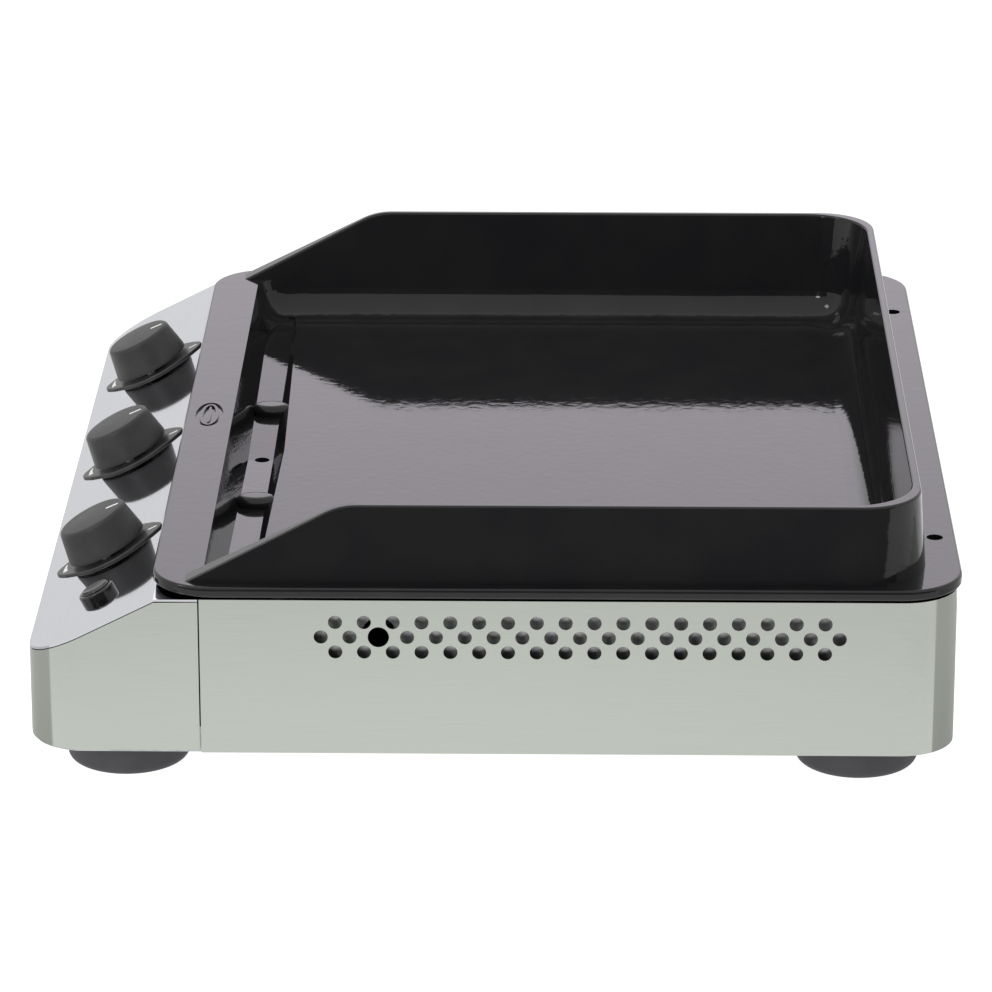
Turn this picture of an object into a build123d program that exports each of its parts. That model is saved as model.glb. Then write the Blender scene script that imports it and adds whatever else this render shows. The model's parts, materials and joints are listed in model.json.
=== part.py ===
from build123d import *
import math

# Table-top gas griddle: an enamelled cooking plate with a splash wall on three sides, resting on a
# stainless sheet body with a sloped control panel, three burners, a drip tray and four feet.
# Millimetres. +X is the cook's right, -Y the front with the controls, +Z up; the origin is on the
# table under the middle of the outer box. An inset is measured inwards from the named edge.

# ---- overall sizes ----
overall_width = 600.0        # across the plate's flange
overall_depth = 526.0        # body front to the plate's rear edge
foot_height = 23.0
body_height = 92.0           # from the top of the feet to the body's flat lip
plate_stand = 8.0            # top of the plate's flange above the lip
wall_height = 44.5           # splash wall above the flange
tub_depth = 22.5             # cooking surface below the flange

# ---- sheet body ----
sheet = 1.2
overhang = 2.5               # the plate stands out past the body's sides and back
body_corner = 32.0
skirt_raise = 1.5            # lower edge of the front skirt above the feet
knee_inset = 73.0            # body front to the bend where the sloped panel meets the lip
knee_radius = 4.0
panel_rise = 37.0            # the sloped panel climbs by this much
seam_inset = 98.0            # body front to the joint between front skirt and rear casing
seam_gap = 0.8
panel_gap = 0.5              # shadow line under the control panel
lip_width = 14.0
pan_clearance = 0.2
pan_rim = 14.0
pan_slot_length = 36.0
pan_slot_width = 5.0

# ---- vents in the side walls ----
vent_diameter = 7.9
vent_pitch = 16.1
vent_start = 68.4            # seam to the first hole
vent_end = 60.0              # at least this much between the last hole and the back
vent_drops = (13.0, 21.8, 30.7)   # rows below the lip
lighting_hole_diameter = 11.9
lighting_hole_index = 2
baffle_gap = 6.0             # behind the vents
baffle_sheet = 1.0
baffle_drop = 3.5            # top edge below the lip
baffle_past = 16.0           # past the first and the last hole
baffle_foot = 10.0
baffle_hole_diameter = 18.4    # wider than the lighting hole, so a lighter reaches through

# ---- cooking plate ----
plate_inset = 70.5           # body front to the plate's front edge
plate_corner = 35.0
flange_thickness = 6.3
flange_edge = 2.0
wall_side_inset = 9.3        # flange edge to the outside of the side walls
wall_rear_inset = 20.0       # flange edge to the outside of the rear wall
wall_outer_corner = 38.0
wall_draft = 4.4
wall_edge = 1.6
wall_lip = 4.7               # thickness at the top
wall_inner_corner = 32.0
wall_inner_draft = 8.3
slope_start = 19.7           # plate front to where the side walls start to climb
slope_tangent = 0.512
slope_round = 40.0
front_flange = 29.0          # plate front to the sunk tub
tub_front_draft = 16.5
tub_floor_round = 20.0
tub_front_round = 14.0
plate_floor = 6.5            # thickness under the cooking surface
plate_side = 5.5             # thickness of the sunk sides

# ---- grease gutter along the tub's front ----
gutter_width = 24.1
gutter_depths = (7.0, 3.7, 2.2)   # at the middle, and at two stations on the way to the ends
gutter_reaches = (92.0, 22.0)     # those stations, measured back from the gutter's end
gutter_end_inset = 14.0
gutter_fade = 0.2
gutter_floor = 6.0
lug_x = 85.0
lug_half_width = 12.5       # front to back
lug_half_length = 9.0
lug_rise = 0.8               # above the cooking surface
lug_dome = 4.5
drain_diameter = 9.0
drain_wall = 3.0
drain_length = 12.0

# ---- lid holes and badge on the flange ----
lid_hole_side_inset = 88.0
lid_hole_inset = 12.2
lid_hole_diameter = 9.5
badge_length = 44.0
badge_width = 17.0
badge_groove = 2.6
badge_depth = 1.3

# ---- plate rests on the lip ----
rest_side_inset = 10.4
rest_front = 45.0            # behind the seam
rest_rear_inset = 68.0
rest_diameter = 9.0
rest_stem = 4.0
rest_stem_length = 2.7

# ---- feet ----
foot_diameter = 70.0
foot_side_inset = 54.0
foot_front_inset = 53.0
foot_rear_inset = 53.5
foot_round = 5.0
foot_recess = 12.0
foot_screw_diameter = 6.0
foot_screw_head = 3.6
foot_nut = 4.5

# ---- controls on the sloped panel ----
burner_inset = 127.5         # body side to the outer knobs, valves and burners
knob_names = ("left", "centre", "right")
knob_line = 42.4             # lower edge of the slope to the knobs' axes, along the slope
panel_hole = 12.0
bezel_thickness = 1.2
bezel_radius = 26.0
bezel_ear_radius = 8.5
bezel_ear_tip = 34.5
bezel_waist = 21.0           # width of the straight part between ear and disc
bezel_bevel = 0.4
knob_base_radius = 24.0
knob_skirt = 1.5
knob_top_radius = 20.6
knob_top = 24.0              # above the panel
knob_crown = 0.8
knob_edge = 2.6
knob_wall = 2.6
knob_boss = 7.0
knob_travel = 2.5
running_gap = 0.3
spindle_radius = 4.0
spindle_flat = 2.6
spindle_fit = 0.06
spindle_top = 16.5
spindle_depth = 14.0
valve_width = 26.0
valve_depth = 42.0
valve_neck = 16.0
valve_neck_length = 12.0
valve_plate = 3.0            # flange of the valve behind the panel
valve_screw_x = 14.5
valve_screw_radius = 2.0
screw_fit = 0.2
outlet_radius = 7.5
outlet_inset = 70.0          # body front to the end of the valves' outlets

# ---- push igniter ----
igniter_inset = 53.5         # from the body's side
igniter_ring_radius = 10.75
igniter_ring_height = 4.6
igniter_barrel_radius = 9.8
igniter_depth = 38.0
igniter_well = 8.0
igniter_nut_height = 4.0
button_radius = 8.5
button_proud = 5.6
button_travel = 4.0
button_fit = 0.3
button_dish_radius = 28.0
button_dish_depth = 1.2

# ---- gas train ----
burner_drop = 49.0           # burners' axes below the lip
burner_radius = 11.0
burner_mouth_radius = 14.0
burner_throat_radius = 8.5
burner_wall = 1.2
burner_front_inset = 75.0
burner_rear_inset = 63.5
burner_cap = 2.0
port_start = 122.0           # burner mouth to the first port
port_end = 20.5              # at least this much after the last port
port_pitch = 11.5
port_diameter = 2.4
port_angle = 40.0
manifold_radius = 8.0
manifold_wall = 1.5
manifold_reach = 56.0        # past the outer burners
manifold_depth = 20.0
clamp_wall = 2.4
clamp_width = 10.0
feed_radius = 5.0
feed_bend = 11.0
feed_inset = 32.0
inlet_side_inset = 97.5
inlet_rear_inset = 24.5
inlet_raise = 36.0           # above the base pan
inlet_radius = 10.0
inlet_body = 12.0
inlet_shoulder = 2.0
inlet_thread = 17.0
inlet_bore_wall = 4.0
inlet_plate = 2.0
inlet_plate_width = 48.0
window_width = 52.0
window_height = 36.0
jet_flats = 5.5
jet_base = 6.0
jet_tip = 3.0
jet_length = 9.0

# ---- brackets and shield ----
bracket_front = 103.0        # burner mouth to the front bracket
bracket_rear = 9.0           # burner end to the rear bracket
bracket_reach = 35.0         # past the outer burners
bracket_rise = 18.0          # above the burners' axes
bracket_foot = 14.0
bracket_sheet = 1.5
bracket_bolt_reach = 20.0
bracket_slot_length = 70.0
bracket_slot_width = 22.0
burner_fit = 0.15
shield_raise = 17.8          # above the base pan
shield_reach = 62.0          # past the outer burners
shield_front_gap = 13.0      # behind the front bracket
shield_rear_gap = 10.0       # before the rear bracket
shield_sheet = 1.0
shield_leg = 12.0

# ---- ignition ----
electrode_offset = 18.0
electrode_rise = 12.0        # above the burners' axes
electrode_radius = 3.5
electrode_length = 34.0
electrode_fit = 0.15
spark_wire = 0.9
spark_reach = 14.0
lead_radius = 1.5
lead_lane_inset = 85.0       # from the body's front
lead_lane_drops = (31.5, 27.5, 23.5)   # below the lip
lead_bend = 2.4

# ---- drip tray ----
tray_half = 103.0
tray_gap_rear = 10.0         # before the front burner bracket
tray_raise = 4.4             # above the base pan
tray_height = 20.0
tray_wall = 1.2
tray_corner = 6.0
tray_front_half = 108.0
tray_front_drop = 1.0        # the front reaches below the tray
tray_front_height = 29.0
tray_gap = 0.5
notch_radius = 15.0
runner_inner = 88.0
runner_sheet = 1.5

# ---- worked-out places ----
body_half = overall_width / 2 - overhang
body_front = -overall_depth / 2
plate_rear = overall_depth / 2
body_rear = plate_rear - overhang
body_top = foot_height + body_height
flange_top = body_top + plate_stand
wall_top = flange_top + wall_height
cooking_level = flange_top - tub_depth
flange_bottom = flange_top - flange_thickness
floor_bottom = cooking_level - plate_floor
skirt_bottom = foot_height + skirt_raise
panel_front_z = body_top - panel_rise
knee_y = body_front + knee_inset
seam_y = body_front + seam_inset
slope_angle = math.degrees(math.atan2(panel_rise, knee_inset))
slope_sin = math.sin(math.radians(slope_angle))
slope_cos = math.cos(math.radians(slope_angle))
knob_y = body_front + knob_line * slope_cos
knob_z = panel_front_z + knob_line * slope_sin
plate_front = body_front + plate_inset
tub_front = plate_front + front_flange
gutter_edge_y = tub_front + gutter_width
wall_outer_x = overall_width / 2 - wall_side_inset
wall_slopes = math.tan(math.radians(wall_draft)) + math.tan(math.radians(wall_inner_draft))
wall_thickness = wall_lip + wall_height * wall_slopes
wall_inner_x = wall_outer_x - wall_thickness
wall_outer_rear = plate_rear - wall_rear_inset
wall_inner_rear = wall_outer_rear - wall_thickness
slope_start_y = plate_front + slope_start
gutter_end_x = wall_inner_x - gutter_end_inset
lid_hole_x = overall_width / 2 - lid_hole_side_inset
lid_hole_y = plate_rear - lid_hole_inset
burner_x = body_half - burner_inset
knob_places = (-burner_x, 0.0, burner_x)
knob_bottom = bezel_thickness + knob_travel + running_gap
igniter_x = body_half - igniter_inset
burner_z = body_top - burner_drop
burner_front_y = body_front + burner_front_inset
burner_rear_y = body_rear - burner_rear_inset
outlet_depth = (knob_z - burner_z) / slope_cos
outlet_end_y = body_front + outlet_inset
port_first_y = burner_front_y + port_start
port_count = int((burner_rear_y - port_end - port_first_y) / port_pitch) + 1
manifold_half = burner_x + manifold_reach
bracket_front_y = burner_front_y + bracket_front
bracket_rear_y = burner_rear_y - bracket_rear
bracket_half = burner_x + bracket_reach
bracket_top = burner_z + bracket_rise
inside = sheet + pan_clearance
pan_top = foot_height + sheet
shield_z = pan_top + shield_raise
shield_half = burner_x + shield_reach
shield_front = bracket_front_y + shield_front_gap
shield_rear = bracket_rear_y - shield_rear_gap
inlet_x = inlet_side_inset - body_half
inlet_z = pan_top + inlet_raise
inlet_plate_y = body_rear - inlet_rear_inset
electrode_z = burner_z + electrode_rise
lead_lane_y = body_front + lead_lane_inset
tray_bottom = pan_top + tray_raise
tray_rear = bracket_front_y - tray_gap_rear
tray_front_bottom = tray_bottom - tray_front_drop
tray_front_top = tray_front_bottom + tray_front_height
vent_first_y = seam_y + vent_start
vent_count = int((body_rear - vent_end - vent_first_y) / vent_pitch) + 1


def panel_plane(x, height=0.0):
    """A plane lying on the sloped panel at x, raised along the panel's outward normal."""
    origin = (x, knob_y - height * slope_sin, knob_z + height * slope_cos)
    return Plane(origin=origin, x_dir=(1, 0, 0), z_dir=(0, -slope_sin, slope_cos))


def panel_point(x, up, height):
    """A point up the slope from the knobs' line and above the panel's face."""
    return Vector(
        x,
        knob_y + up * slope_cos - height * slope_sin,
        knob_z + up * slope_sin + height * slope_cos,
    )


def rounded_box(half_x, front, rear, front_radius, rear_radius):
    """A rectangle between two depths with its own corner radius at the front and at the rear."""
    with Locations((0, (front + rear) / 2)):
        Rectangle(2 * half_x, rear - front)
    fillet(vertices().group_by(Axis.Y)[0], front_radius)
    fillet(vertices().group_by(Axis.Y)[-1], rear_radius)


def body_outline(inset):
    """The sheet body seen from above, moved in by an inset."""
    radius = body_corner - inset
    rounded_box(body_half - inset, body_front + inset, body_rear - inset, radius, radius)


def finish(builder, label):
    """Names a piece and writes its file."""
    builder.part.label = label
    export_step(builder.part, "parts/" + label + ".step")


# ---- cooking plate ----
tub_shrink = math.tan(math.radians(wall_inner_draft))
front_shrink = math.tan(math.radians(tub_front_draft))


def tub_front_at(z):
    """Where the tub's sloping front wall is at a height."""
    return tub_front + (flange_top - z) * front_shrink


with BuildPart() as tub_space:
    drop = flange_top - cooking_level
    with BuildSketch(Plane.XY.offset(cooking_level)):
        half = wall_inner_x - drop * tub_shrink
        rear = wall_inner_rear - drop * tub_shrink
        with Locations((0, (tub_front_at(cooking_level) + rear) / 2)):
            Rectangle(2 * half, rear - tub_front_at(cooking_level))
        fillet(vertices().group_by(Axis.Y)[-1], wall_inner_corner - drop * tub_shrink)
    with BuildSketch(Plane.XY.offset(flange_top)):
        with Locations((0, (tub_front + wall_inner_rear) / 2)):
            Rectangle(2 * wall_inner_x, wall_inner_rear - tub_front)
        fillet(vertices().group_by(Axis.Y)[-1], wall_inner_corner)
    loft(ruled=True)
    floor_edges = faces().sort_by(Axis.Z)[0].edges()
    fillet(floor_edges.sort_by(Axis.Y)[1:], tub_floor_round)
    fillet(faces().sort_by(Axis.Y)[0].edges().sort_by(Axis.Z)[:-1], tub_front_round)

with BuildPart() as wall_space:
    with BuildSketch(Plane.XY.offset(flange_top)):
        rounded_box(wall_inner_x, plate_front - overhang, wall_inner_rear, overhang, wall_inner_corner)
    extrude(amount=wall_height + 1, taper=-wall_inner_draft)


def gutter_section(depth, front):
    """The gutter's cross-section: floor, 45 degree step up to the cooking surface, open top."""
    low = cooking_level - depth
    step_top = gutter_edge_y + depth
    Polygon(
        (front, low),
        (gutter_edge_y, low),
        (step_top, cooking_level),
        (step_top, flange_top),
        (tub_front, flange_top),
        align=None,
    )


gutter_stations = [(0.0, gutter_depths[0])] + [
    (gutter_end_x - reach, depth) for reach, depth in zip(gutter_reaches, gutter_depths[1:])
]
gutter_sides = [(-x, depth) for x, depth in reversed(gutter_stations[1:])] + gutter_stations
fade_front = gutter_edge_y - tub_front_round / 4

with BuildPart() as gutter_space:
    with BuildSketch(Plane.YZ.offset(-gutter_end_x)):
        gutter_section(gutter_fade, fade_front)
    for x, depth in gutter_sides:
        with BuildSketch(Plane.YZ.offset(x)):
            gutter_section(depth, tub_front_at(cooking_level - depth))
    with BuildSketch(Plane.YZ.offset(gutter_end_x)):
        gutter_section(gutter_fade, fade_front)
    loft(ruled=True)

gutter_low = cooking_level - gutter_depths[0] - gutter_floor
lug_y = gutter_edge_y + gutter_depths[0] - lug_half_width
with BuildPart() as hollow:
    add(tub_space.part)
    add(gutter_space.part)

with BuildPart() as lugs:
    with BuildSketch(Plane.XY.offset(gutter_low + gutter_floor / 2)):
        with Locations((-lug_x, lug_y), (lug_x, lug_y)):
            Ellipse(lug_half_length, lug_half_width)
    extrude(amount=cooking_level + lug_rise - gutter_low - gutter_floor / 2)
    fillet(edges().group_by(Axis.Z)[-1], lug_dome)

with BuildPart() as griddle_plate:
    with BuildSketch(Plane.XY.offset(flange_bottom)):
        rounded_box(overall_width / 2, plate_front, plate_rear, plate_corner, plate_corner)
    extrude(amount=flange_thickness)
    fillet(edges().filter_by(GeomType.LINE).filter_by(Axis.Z, reverse=True), flange_edge)
    with BuildSketch(Plane.XY.offset(flange_top)):
        rounded_box(wall_outer_x, plate_front, wall_outer_rear, flange_edge, wall_outer_corner)
    extrude(amount=wall_height, taper=wall_draft)
    slope_end_y = slope_start_y + wall_height / slope_tangent
    with BuildSketch(Plane.YZ):
        with BuildLine():
            Polyline(
                (slope_start_y, flange_top),
                (slope_end_y, wall_top),
                (slope_end_y + slope_round, wall_top),
                (slope_end_y + slope_round, wall_top + 5),
                (plate_front - 5, wall_top + 5),
                (plate_front - 5, flange_top),
                close=True,
            )
        make_face()
        fillet(vertices().sort_by_distance((slope_end_y, wall_top))[0], slope_round)
    extrude(amount=overall_width / 2, both=True, mode=Mode.SUBTRACT)
    sunk_x = wall_inner_x + plate_side
    sunk_front = tub_front - plate_side
    sunk_rear = wall_inner_rear + plate_side
    taper_in = (flange_bottom - floor_bottom) * tub_shrink
    with BuildSketch(Plane.XY.offset(flange_bottom)):
        rounded_box(sunk_x, sunk_front, sunk_rear, wall_inner_corner, wall_inner_corner)
    with BuildSketch(Plane.XY.offset(floor_bottom)):
        rounded_box(
            sunk_x - taper_in,
            sunk_front + taper_in,
            sunk_rear - taper_in,
            wall_inner_corner - taper_in,
            wall_inner_corner - taper_in,
        )
    loft(ruled=True)
    with BuildSketch(Plane.YZ):
        with BuildLine():
            Polyline(
                (sunk_front + taper_in, floor_bottom),
                (tub_front_at(gutter_low) - plate_side, gutter_low),
                (gutter_edge_y + gutter_floor / 2, gutter_low),
                (gutter_edge_y + gutter_floor + floor_bottom - gutter_low, floor_bottom),
                close=True,
            )
        make_face()
    extrude(amount=gutter_stations[-1][0], both=True)
    drain_y = (tub_front_at(gutter_low) + gutter_edge_y) / 2
    with BuildSketch(Plane.XY.offset(gutter_low - drain_length)):
        with Locations((0, drain_y)):
            Circle(drain_diameter / 2 + drain_wall)
    extrude(amount=drain_length)
    add(wall_space.part, mode=Mode.SUBTRACT)
    add(hollow.part, mode=Mode.SUBTRACT)
    add(lugs.part)
    with BuildSketch(Plane.XY.offset(gutter_low - drain_length)):
        with Locations((0, drain_y)):
            Circle(drain_diameter / 2)
    extrude(amount=drain_length + gutter_floor + 1, mode=Mode.SUBTRACT)
    with BuildSketch(Plane.XY.offset(flange_bottom)):
        with Locations((-lid_hole_x, lid_hole_y), (lid_hole_x, lid_hole_y)):
            Circle(lid_hole_diameter / 2)
    extrude(amount=flange_thickness, mode=Mode.SUBTRACT)
    with BuildSketch(Plane.XY.offset(flange_top - badge_depth)):
        with Locations((0, (plate_front + tub_front) / 2)):
            for inset in (0.0, 1.8 * badge_groove):
                Ellipse(badge_length / 2 - inset, badge_width / 2 - inset)
                inner = inset + badge_groove
                Ellipse(badge_length / 2 - inner, badge_width / 2 - inner, mode=Mode.SUBTRACT)
    extrude(amount=badge_depth, mode=Mode.SUBTRACT)
    top_edges = faces().sort_by(Axis.Z)[-1].edges()
    fillet(top_edges.filter_by(lambda e: (e @ 0.5).Y > slope_end_y + 1), wall_edge)
finish(griddle_plate, "griddle_plate")

# ---- plate rests: pads on the lip, with a stem through it ----
rest_x = overall_width / 2 - rest_side_inset
rest_places = [
    (side * rest_x, y) for side in (-1, 1) for y in (seam_y + rest_front, plate_rear - rest_rear_inset)
]
with BuildPart() as plate_rests:
    with BuildSketch(Plane.XY.offset(body_top)):
        with Locations(*rest_places):
            Circle(rest_diameter / 2)
    extrude(amount=flange_bottom - body_top)
    with BuildSketch(Plane.XY.offset(body_top - rest_stem_length)):
        with Locations(*rest_places):
            Circle(rest_stem / 2)
    extrude(amount=rest_stem_length)
finish(plate_rests, "plate_rests")

# ---- control panel: sloped face, knee and flat lip in one bent sheet ----
lip_inner_x = body_half - lip_width
lip_inner_front = tub_front - plate_side - running_gap * 6
with BuildPart() as control_panel:
    with BuildSketch(Plane.YZ):
        with BuildLine():
            knee = FilletPolyline(
                (body_front, panel_front_z),
                (knee_y, body_top),
                (seam_y - seam_gap / 2, body_top),
                radius=knee_radius,
            )
            offset(knee, amount=sheet, side=Side.RIGHT)
        make_face()
    extrude(amount=body_half, both=True)
    with BuildSketch(Plane.XY.offset(panel_front_z - sheet * 2)):
        body_outline(0)
    extrude(amount=body_top, mode=Mode.INTERSECT)
    with BuildSketch(Plane.XY.offset(body_top - 2 * sheet)):
        with Locations((0, lip_inner_front + overall_depth / 2)):
            Rectangle(2 * lip_inner_x, overall_depth)
    extrude(amount=3 * sheet, mode=Mode.SUBTRACT)
    for x in knob_places:
        with BuildSketch(panel_plane(x, -2 * sheet)):
            Circle(panel_hole / 2)
            with Locations((-valve_screw_x, 0), (valve_screw_x, 0)):
                Circle(valve_screw_radius + screw_fit)
        extrude(amount=3 * sheet, mode=Mode.SUBTRACT)
    with BuildSketch(panel_plane(igniter_x, -2 * sheet)):
        Circle(igniter_barrel_radius + screw_fit)
    extrude(amount=3 * sheet, mode=Mode.SUBTRACT)
finish(control_panel, "control_panel")

# ---- front skirt: the vertical band under the panel ----
with BuildPart() as front_skirt:
    with BuildSketch(Plane.XY.offset(skirt_bottom)):
        body_outline(0)
        with BuildSketch(mode=Mode.PRIVATE) as skirt_inside:
            body_outline(sheet)
        add(skirt_inside.sketch, mode=Mode.SUBTRACT)
    extrude(amount=body_top - skirt_bottom)
    panel_drop = sheet + panel_gap
    with BuildSketch(Plane.YZ):
        with BuildLine():
            Polyline(
                (body_front - 1, panel_front_z - (panel_drop + slope_sin) / slope_cos),
                (knee_y, body_top - panel_drop / slope_cos),
                (seam_y - seam_gap / 2, body_top - panel_drop),
                (seam_y - seam_gap / 2, skirt_bottom),
                (body_front - 1, skirt_bottom),
                close=True,
            )
        make_face()
    extrude(amount=body_half, both=True, mode=Mode.INTERSECT)
    with BuildSketch(Plane.XZ.offset(-body_front - sheet - 1)):
        with Locations((0, (tray_front_bottom + tray_front_top) / 2)):
            Rectangle(2 * (tray_front_half + tray_gap), tray_front_top - tray_front_bottom + 2 * tray_gap)
    extrude(amount=sheet + 2, mode=Mode.SUBTRACT)
finish(front_skirt, "front_skirt")

# ---- rear casing: sides, back and lip in one wrapped sheet ----
casing_front = seam_y + seam_gap / 2
with BuildPart() as rear_casing:
    with BuildSketch(Plane.XY.offset(foot_height)):
        body_outline(0)
    extrude(amount=body_top - foot_height)
    with BuildSketch(Plane.XY.offset(foot_height)):
        body_outline(sheet)
    extrude(amount=body_top - foot_height - sheet, mode=Mode.SUBTRACT)
    with BuildSketch(Plane.XY.offset(body_top - sheet)):
        rounded_box(lip_inner_x, body_front, body_rear - lip_width, 5, body_corner - lip_width)
        with Locations((0, casing_front - overall_depth / 2)):
            Rectangle(overall_width, overall_depth)
    extrude(amount=sheet, mode=Mode.SUBTRACT)
    with BuildSketch(Plane.XY.offset(foot_height)):
        with Locations((0, casing_front - overall_depth / 2)):
            Rectangle(overall_width, overall_depth)
    extrude(amount=body_top - foot_height, mode=Mode.SUBTRACT)
    with BuildSketch(Plane.YZ.offset(-overall_width / 2)):
        for row, drop in enumerate(vent_drops):
            staggered = row != 1
            count = vent_count - 1 if staggered else vent_count
            first = vent_first_y + (vent_pitch / 2 if staggered else 0)
            for index in range(count):
                lighting = index == lighting_hole_index and not staggered
                with Locations((first + index * vent_pitch, body_top - drop)):
                    Circle((lighting_hole_diameter if lighting else vent_diameter) / 2)
    extrude(amount=overall_width, mode=Mode.SUBTRACT)
    with BuildSketch(Plane.XZ.offset(-body_rear - 1)):
        with Locations((inlet_x, inlet_z)):
            RectangleRounded(window_width, window_height, 4)
    extrude(amount=sheet + 2, mode=Mode.SUBTRACT)
    with BuildSketch(Plane.XY.offset(body_top - sheet)):
        with Locations(*rest_places):
            Circle(rest_stem / 2 + 0.1)
    extrude(amount=sheet, mode=Mode.SUBTRACT)
finish(rear_casing, "rear_casing")

# ---- baffles behind the vents, each with a foot on the base pan ----
baffle_face = body_half - sheet - baffle_gap
baffle_front = vent_first_y - baffle_past
baffle_rear = vent_first_y + (vent_count - 1) * vent_pitch + baffle_past
lighting_y = vent_first_y + lighting_hole_index * vent_pitch
with BuildPart() as vent_baffles:
    for side in (-1, 1):
        with BuildSketch(Plane.XY.offset(pan_top)):
            with Locations((side * (baffle_face - baffle_sheet / 2), (baffle_front + baffle_rear) / 2)):
                Rectangle(baffle_sheet, baffle_rear - baffle_front)
        extrude(amount=body_top - baffle_drop - pan_top)
        with BuildSketch(Plane.XY.offset(pan_top)):
            with Locations((side * (baffle_face - baffle_foot / 2), (baffle_front + baffle_rear) / 2)):
                Rectangle(baffle_foot, baffle_rear - baffle_front)
        extrude(amount=baffle_sheet)
    with BuildSketch(Plane.YZ.offset(-body_half)):
        with Locations((lighting_y, body_top - vent_drops[1])):
            Circle(baffle_hole_diameter / 2)
    extrude(amount=2 * body_half, mode=Mode.SUBTRACT)
finish(vent_baffles, "vent_baffles")

# ---- base pan with an upturned rim inside the body ----
foot_x = body_half - foot_side_inset
foot_front_y = body_front + foot_front_inset
foot_rear_y = body_rear - foot_rear_inset
foot_places = {
    "front_left": (-foot_x, foot_front_y),
    "front_right": (foot_x, foot_front_y),
    "rear_left": (-foot_x, foot_rear_y),
    "rear_right": (foot_x, foot_rear_y),
}
with BuildPart() as base_pan:
    with BuildSketch(Plane.XY.offset(foot_height)):
        body_outline(inside)
    extrude(amount=sheet + pan_rim)
    with BuildSketch(Plane.XY.offset(pan_top)):
        body_outline(inside + sheet)
    extrude(amount=pan_rim, mode=Mode.SUBTRACT)
    with BuildSketch(Plane.XY.offset(pan_top)):
        with Locations((0, body_front)):
            Rectangle(2 * (tray_front_half + tray_gap), 4 * inside)
    extrude(amount=pan_rim, mode=Mode.SUBTRACT)
    with BuildSketch(Plane.XY.offset(foot_height)):
        with Locations(*foot_places.values()):
            Circle(foot_screw_diameter / 2 + screw_fit)
        with Locations((0, (shield_front + shield_rear) / 2)):
            with GridLocations(60, 90, 7, 3):
                SlotOverall(pan_slot_length, pan_slot_width)
    extrude(amount=sheet, mode=Mode.SUBTRACT)
finish(base_pan, "base_pan")

# ---- feet ----
for name, place in foot_places.items():
    with BuildPart() as foot:
        with BuildSketch():
            with Locations(place):
                Circle(foot_diameter / 2)
        extrude(amount=foot_height)
        fillet(edges().group_by(Axis.Z)[0], foot_round)
        fillet(edges().group_by(Axis.Z)[-1], 1)
        with BuildSketch():
            with Locations(place):
                Circle(foot_screw_diameter)
        extrude(amount=foot_recess, mode=Mode.SUBTRACT)
        with BuildSketch():
            with Locations(place):
                Circle(foot_screw_diameter / 2 + 0.1)
        extrude(amount=foot_height, mode=Mode.SUBTRACT)
    finish(foot, "foot_" + name)

with BuildPart() as foot_screws:
    with BuildSketch(Plane.XY.offset(foot_recess - foot_screw_head)):
        with Locations(*foot_places.values()):
            Circle(foot_screw_diameter * 0.9)
    extrude(amount=foot_screw_head)
    with BuildSketch(Plane.XY.offset(foot_recess)):
        with Locations(*foot_places.values()):
            Circle(foot_screw_diameter / 2)
    extrude(amount=pan_top + 1.4 * foot_nut - foot_recess)
    with BuildSketch(Plane.XY.offset(pan_top)):
        with Locations(*foot_places.values()):
            RegularPolygon(foot_screw_diameter * 0.85, 6)
    extrude(amount=foot_nut)
finish(foot_screws, "foot_screws")

# ---- knobs, bezels, spindles and valves ----
spindle_hole = spindle_radius + spindle_fit


def round_with_flat(radius, flat):
    """A disc with one side cut off flat, the section of a knob spindle."""
    Circle(radius)
    with Locations((0, flat + radius)):
        Rectangle(4 * radius, 2 * radius, mode=Mode.SUBTRACT)


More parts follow.
